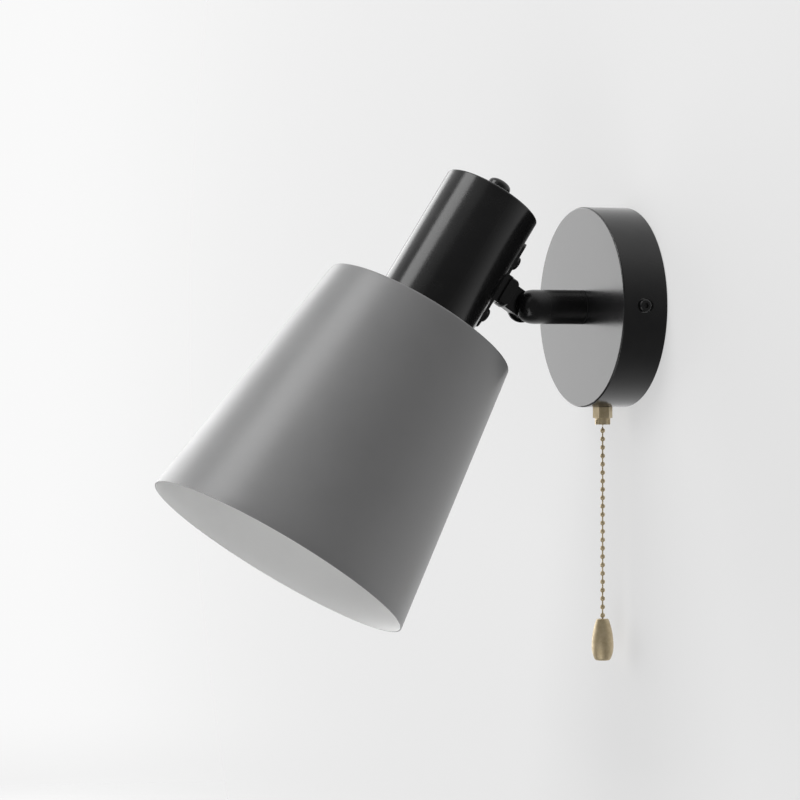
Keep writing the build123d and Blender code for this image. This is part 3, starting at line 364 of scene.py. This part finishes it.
def gridFaces(rows, columns, start=0):
    # quads of a grid that closes on itself in both directions, rows along the first index
    i, j = np.meshgrid(np.arange(rows), np.arange(columns), indexing="ij")
    nextRow, nextColumn = (i + 1) % rows, (j + 1) % columns
    here, below = i * columns, nextRow * columns
    quads = np.stack([here + j, here + nextColumn, below + nextColumn, below + j], -1)
    return quads.reshape(-1, 4) + start


def barFaces(rows, columns, start=0):
    # the side quads of a round bar and a flat cap at each end
    sides = gridFaces(rows, columns, start)[:(rows - 1) * columns].tolist()
    last = start + (rows - 1) * columns
    return sides + [list(range(start, start + columns))[::-1], list(range(last, last + columns))]


def cornerArc(centre, radius, fromDegrees, toDegrees, steps):
    # points of a circle arc in the half section, radius across and height up
    a = np.radians(np.linspace(fromDegrees, toDegrees, steps))
    return np.stack([centre[0] + radius * np.cos(a), centre[1] + radius * np.sin(a)], -1)


def turnedSurface(profile, origin, axis, segments):
    # a half section (r, h) turned about an axis: origin + h * axis + r * (cos a * side + sin a * other)
    axis = np.array(axis)
    side = np.array([1.0, 0.0, 0.0])
    other = np.cross(axis, side)
    a = np.linspace(0, 2 * math.pi, segments, endpoint=False)
    ring = np.cos(a)[:, None] * side + np.sin(a)[:, None] * other
    points = np.array(origin) + profile[:, 1][:, None, None] * axis + profile[:, 0][:, None, None] * ring[None]
    return points.reshape(-1, 3)


shadeSizes = {"topRadius": 0.0505, "bottomRadius": 0.0692, "height": 0.1374, "wall": 0.0008, "topEdge": 0.0013,
              "holeRadius": 0.0201, "below": 0.0721, "lipRound": 0.0003, "lipShare": 0.3, "cornerGap": 0.001,
              "segments": 224, "rows": 26, "plateSteps": 8, "roundFrom": 14, "roundSteps": 9}


def makeShade(s):
    # the section runs in under the top plate, down the inside, round the lip, up the outside and back to the hole
    cone = math.atan2(s["bottomRadius"] - s["topRadius"], s["height"])
    top, low = -s["below"], -s["below"] - s["height"]
    across = s["wall"] / math.cos(cone)
    innerTop = s["topRadius"] - across + math.tan(cone) * s["wall"]
    lip = s["lipRound"]
    e = s["topEdge"]
    reach = e * math.tan((math.pi / 2 - cone) / 2)
    corner = np.array([s["topRadius"] - reach, top - e])
    steps, gap, inset = s["plateSteps"], s["cornerGap"], lip * s["lipShare"]
    plate = np.stack([np.linspace(s["holeRadius"], innerTop - gap, steps), np.full(steps, top - s["wall"])], -1)
    heights = np.linspace(top - s["wall"] - gap, low + lip, s["rows"])
    inside = np.stack([s["topRadius"] - across + (top - heights) * math.tan(cone), heights], -1)
    lipEdge = np.array([[s["bottomRadius"] - across + inset, low], [s["bottomRadius"] - inset, low]])
    up = heights[::-1].copy()
    outside = np.stack([s["topRadius"] + (top - up) * math.tan(cone), up], -1)[:-1]
    rounding = cornerArc(corner, e, -math.degrees(cone) + s["roundFrom"], 90, s["roundSteps"])
    cover = np.stack([np.linspace(s["topRadius"] - reach - gap, s["holeRadius"], steps), np.full(steps, top)], -1)
    profile = np.concatenate([plate, inside, lipEdge, outside, rounding, cover])
    points = turnedSurface(profile, headTop, headUp, s["segments"])
    faces = gridFaces(len(profile), s["segments"])
    rows = np.repeat(np.arange(len(profile)), s["segments"])
    insideRows = rows < len(plate) + len(inside)
    piece = meshObject("shadeShell", points, faces.tolist(), ["grey_paint", "white_enamel"], insideRows.astype(int))
    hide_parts("shade")
    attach(piece, "head")
    return piece


makeShade(shadeSizes)
print("shade made")

# the hole's floor is [share of the hole's radius, share of the bead's radius] down to a point of tipRadius
chainSizes = {"depth": 0.01135, "firstBead": -0.06175, "pitch": 0.00421, "beadRadius": 0.00125, "holeRadius": 0.00052,
              "holeFloor": (0.8, 0.55), "tipRadius": 0.00001, "tipDepth": 0.5, "linkRadius": 0.000375, "linkReach": 0.6,
              "count": 23, "knobTop": -0.15610, "intoKnob": 0.002, "linkSegments": 10, "beadSegments": 20, "rings": 14}


def makeBeads(c, levels):
    # each bead is a sphere with a drilled hole at both poles, shut inside; all beads come from one array
    opening = math.asin(c["holeRadius"] / c["beadRadius"])
    polar = np.linspace(opening, math.pi - opening, c["rings"])
    skin = np.stack([c["beadRadius"] * np.sin(polar), c["beadRadius"] * np.cos(polar)], -1)
    bottom = np.array([[c["holeRadius"] * c["holeFloor"][0], -c["beadRadius"] * c["holeFloor"][1]],
                       [c["tipRadius"], -c["beadRadius"] * c["tipDepth"]]])
    section = np.concatenate([bottom[::-1] * [1, -1], skin, bottom])
    one = turnedSurface(section, (0, -c["depth"], 0), (0, 0, 1), c["beadSegments"])
    lift = np.zeros((len(levels), 1, 3))
    lift[:, 0, 2] = levels
    points = (one[None] + lift).reshape(-1, 3)
    faces = np.concatenate([gridFaces(len(section), c["beadSegments"], k * len(one)) for k in range(len(levels))])
    return meshObject("chainBeads", points, faces[:, ::-1].tolist(), ["aged_brass"], sharpAngle=50)


def makeLinks(c, spans):
    # each link is a thin round bar from one bead's hole into the next: ends holds (share of radius, share of length)
    ends = np.array([[0.3, 0.0], [0.7, 0.06], [1.0, 0.16], [1.0, 0.84], [0.7, 0.94], [0.3, 1.0]])
    parts = []
    for low, high in spans:
        section = np.stack([ends[:, 0] * c["linkRadius"], low + ends[:, 1] * (high - low)], -1)
        parts.append(turnedSurface(section, (0, -c["depth"], 0), (0, 0, 1), c["linkSegments"]))
    count = len(ends) * c["linkSegments"]
    faces = [face for k in range(len(spans)) for face in barFaces(len(ends), c["linkSegments"], k * count)]
    return meshObject("chainLinks", np.concatenate(parts), faces, ["aged_brass"], sharpAngle=50)


def makeChain(c):
    levels = c["firstBead"] - np.arange(c["count"]) * c["pitch"]
    beads = makeBeads(c, levels)
    inBead = c["beadRadius"] * c["linkReach"]
    gaps = [(z - c["pitch"] + inBead, z - inBead) for z in levels[:-1]]
    top = (c["firstBead"] + inBead, c["firstBead"] + c["pitch"] / 2)
    last = (c["knobTop"] - c["intoKnob"], levels[-1] - inBead)
    links = makeLinks(c, gaps + [top, last])
    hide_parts("bead_chain")
    for piece in (beads, links):
        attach(piece, "pull_chain")


makeChain(chainSizes)
print("chain made")

shellSizes = {"radius": 0.0135, "depthOfThread": 0.0005, "pitch": 0.00362, "wall": 0.0003, "top": -0.0525,
              "low": -0.083, "baseRadius": 0.007, "baseOuter": 0.0044, "baseInner": 0.0041, "topFade": 0.003,
              "lowFade": 0.001, "rows": 150, "segments": 96}


def makeScrewShell(s):
    # the lamp thread: the wall's radius rises and falls once a pitch and once a turn, so its crests are a helix
    h = np.linspace(s["top"], s["low"], s["rows"])
    a = np.linspace(0, 2 * math.pi, s["segments"], endpoint=False)
    fade = np.clip((s["top"] - h) / s["topFade"], 0, 1) * np.clip((h - s["low"]) / s["lowFade"], 0, 1)
    crest = 1 + np.cos(2 * math.pi * h[:, None] / s["pitch"] + a[None])
    wave = -s["depthOfThread"] / 2 * crest * fade[:, None]
    inner = s["radius"] - s["wall"] + wave
    outer = s["radius"] + wave
    floorTop = np.full((1, s["segments"]), s["baseRadius"])
    radii = np.concatenate([floorTop, outer, inner[::-1], floorTop])
    outerTop, innerTop = s["top"] + s["baseOuter"], s["top"] + s["baseInner"]
    heights = np.concatenate([[outerTop], h, h[::-1], [innerTop]])
    heights[1], heights[-2] = outerTop, innerTop
    axis, side = np.array(headUp), np.array([1.0, 0, 0])
    ring = np.cos(a)[:, None] * side + np.sin(a)[:, None] * np.cross(axis, side)
    points = np.array(headTop) + heights[:, None, None] * axis + radii[:, :, None] * ring[None]
    faces = gridFaces(len(heights), s["segments"])
    points, faces = points.reshape(-1, 3), faces[:, ::-1].tolist()
    piece = meshObject("threadedShell", points, faces, ["brass_contact"], sharpAngle=60)
    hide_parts("screw_shell")
    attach(piece, "head")
    return piece


makeScrewShell(shellSizes)
print("threaded shell made")

springSizes = {"radius": 0.0032, "wire": 0.00035, "turns": 5, "stepsPerTurn": 40, "segments": 10, "travel": 0.005}


def makeSpring(s):
    # a round wire along a helix: c(a) = (R cos a, R sin a, rise * a)
    # skin(a, b) = c(a) + wire * (cos b * out + sin b * cross)
    low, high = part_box("return_spring")
    base = np.array([(low[0] + high[0]) / 2, (low[1] + high[1]) / 2, low[2] + s["wire"]])
    rows = s["turns"] * s["stepsPerTurn"] + 1
    a = np.linspace(0, 2 * math.pi * s["turns"], rows)
    rise = (high[2] - low[2] - 2 * s["wire"]) / a[-1]
    out = np.stack([np.cos(a), np.sin(a), np.zeros(rows)], -1)
    along = np.stack([-s["radius"] * np.sin(a), s["radius"] * np.cos(a), np.full(rows, rise)], -1)
    along /= np.linalg.norm(along, axis=1)[:, None]
    cross = np.cross(along, out)
    b = np.linspace(0, 2 * math.pi, s["segments"], endpoint=False)
    middle = base + out * s["radius"] + np.outer(a * rise, [0, 0, 1])
    skin = np.cos(b)[None, :, None] * out[:, None] + np.sin(b)[None, :, None] * cross[:, None]
    points = middle[:, None] + s["wire"] * skin
    faces = barFaces(rows, s["segments"])
    piece = meshObject("coiledSpring", points.reshape(-1, 3), faces, ["spring_steel"], sharpAngle=60)
    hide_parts("return_spring")
    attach(piece, "canopy")
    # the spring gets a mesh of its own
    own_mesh(piece)
    return piece


makeSpring(springSizes)
print("spring made")

# room: the wall and floor show white to the camera and keep the lamp's shadow
room = {"seen": 0.95, "behind": 1.0, "front": 0.16, "viewAlong": (-0.6, 0.72, 0.3), "darkFrom": -0.35,
        "brightFrom": 0.45, "shadowShare": 0.45, "stageRough": 0.9}

world = bpy.data.worlds.new("softRoom")
bpy.context.scene.world = world
world.use_nodes = True
sky = world.node_tree
lightSky = sky.nodes["Background"]
lightSky.inputs["Color"].default_value = (1, 1, 1, 1)
along = addNode(sky, "ShaderNodeVectorMath", operation="DOT_PRODUCT")
wire(sky, addNode(sky, "ShaderNodeTexCoord").outputs["Generated"], along.inputs[0])
along.inputs[1].default_value = room["viewAlong"]
strength = rangeNode(sky, along.outputs["Value"], room["darkFrom"], room["brightFrom"], room["front"], room["behind"],
                     True)
wire(sky, strength, lightSky.inputs["Strength"])
seenSky = addNode(sky, "ShaderNodeBackground")
seenSky.inputs["Color"].default_value = (room["seen"], room["seen"], room["seen"], 1)
pick = addNode(sky, "ShaderNodeMixShader")
wire(sky, addNode(sky, "ShaderNodeLightPath").outputs["Is Camera Ray"], pick.inputs[0])
wire(sky, lightSky.outputs[0], pick.inputs[1])
wire(sky, seenSky.outputs[0], pick.inputs[2])
wire(sky, pick.outputs[0], sky.nodes["World Output"].inputs["Surface"])


def stageMaterial(name, shade, fadeFrom, fadeTo):
    # seen by camera rays from the front only, and fading out with distance from the lamp
    material = bpy.data.materials.new(name)
    material.use_nodes = True
    tree = material.node_tree
    out = tree.nodes["Material Output"]
    paintShader = tree.nodes["Principled BSDF"]
    paintShader.inputs["Base Color"].default_value = (shade, shade, shade, 1)
    paintShader.inputs["Roughness"].default_value = room["stageRough"]
    paintShader.inputs["Specular IOR Level"].default_value = 0.0
    glow = addNode(tree, "ShaderNodeEmission")
    glow.inputs["Color"].default_value = (room["seen"], room["seen"], room["seen"], 1)
    seen = addNode(tree, "ShaderNodeMixShader")
    seen.inputs[0].default_value = room["shadowShare"]
    wire(tree, glow.outputs[0], seen.inputs[1])
    wire(tree, paintShader.outputs[0], seen.inputs[2])
    clear = addNode(tree, "ShaderNodeBsdfTransparent")
    rays = addNode(tree, "ShaderNodeLightPath").outputs["Is Camera Ray"]
    away = addNode(tree, "ShaderNodeVectorMath", operation="LENGTH")
    wire(tree, addNode(tree, "ShaderNodeTexCoord").outputs["Object"], away.inputs[0])
    near = rangeNode(tree, away.outputs["Value"], fadeFrom, fadeTo, 1.0, 0.0, True)
    share = mathNode(tree, "MULTIPLY", rays, near)
    back = addNode(tree, "ShaderNodeNewGeometry").outputs["Backfacing"]
    share = mathNode(tree, "MULTIPLY", share, mathNode(tree, "SUBTRACT", 1.0, back))
    mixed = addNode(tree, "ShaderNodeMixShader")
    wire(tree, share, mixed.inputs[0])
    wire(tree, clear.outputs[0], mixed.inputs[1])
    wire(tree, seen.outputs[0], mixed.inputs[2])
    wire(tree, mixed.outputs[0], out.inputs["Surface"])
    return material


def makeStage(name, corners, material):
    mesh = bpy.data.meshes.new(name)
    mesh.from_pydata(corners, [], [(0, 1, 2, 3)])
    mesh.materials.append(material)
    made = bpy.data.objects.new(name, mesh)
    bpy.context.collection.objects.link(made)
    return made


stageSizes = {"wallReach": 1.6, "wallGap": 0.0004, "wallShade": 0.56, "wallFade": (0.3, 1.1),
              "floorReach": 3, "floorLevel": -0.42, "floorShade": 0.85, "floorFade": (0.9, 2.6)}
w, y, f, z = (stageSizes[key] for key in ("wallReach", "wallGap", "floorReach", "floorLevel"))
makeStage("wallBackdrop", [(-w, y, z), (w, y, z), (w, y, w), (-w, y, w)],
          stageMaterial("wallPaint", stageSizes["wallShade"], *stageSizes["wallFade"]))
makeStage("floor", [(-f, -f, z), (f, -f, z), (f, f, z), (-f, f, z)],
          stageMaterial("floorPaint", stageSizes["floorShade"], *stageSizes["floorFade"]))


def softbox(name, place, aim, width, height, power):
    lamp = bpy.data.lights.new(name, "AREA")
    lamp.shape = "RECTANGLE"
    lamp.size, lamp.size_y, lamp.energy = width, height, power
    made = bpy.data.objects.new(name, lamp)
    made.location = place
    made.rotation_mode = "QUATERNION"
    made.rotation_quaternion = (Vector(aim) - Vector(place)).to_track_quat("-Z", "Y")
    bpy.context.collection.objects.link(made)
    return made


# place, aim, width, height and power
lights = {"key": ((-0.04, -1.06, 0.96), (0, -0.1, 0.05), 0.68, 1.2, 13.5),
          "fill": ((-1.33, -0.70, 0.12), (0, -0.1, 0), 1.6, 1.4, 18),
          "overhead": ((0.7, -0.9, 1.5), (0, -0.1, 0), 1.2, 1.2, 2),
          "below": ((0.6, -0.95, -0.9), (0, -0.15, -0.03), 1.2, 1.2, 8)}
for name, (place, aim, width, height, power) in lights.items():
    softbox(name + "Softbox", place, aim, width, height, power)
print("room lit")
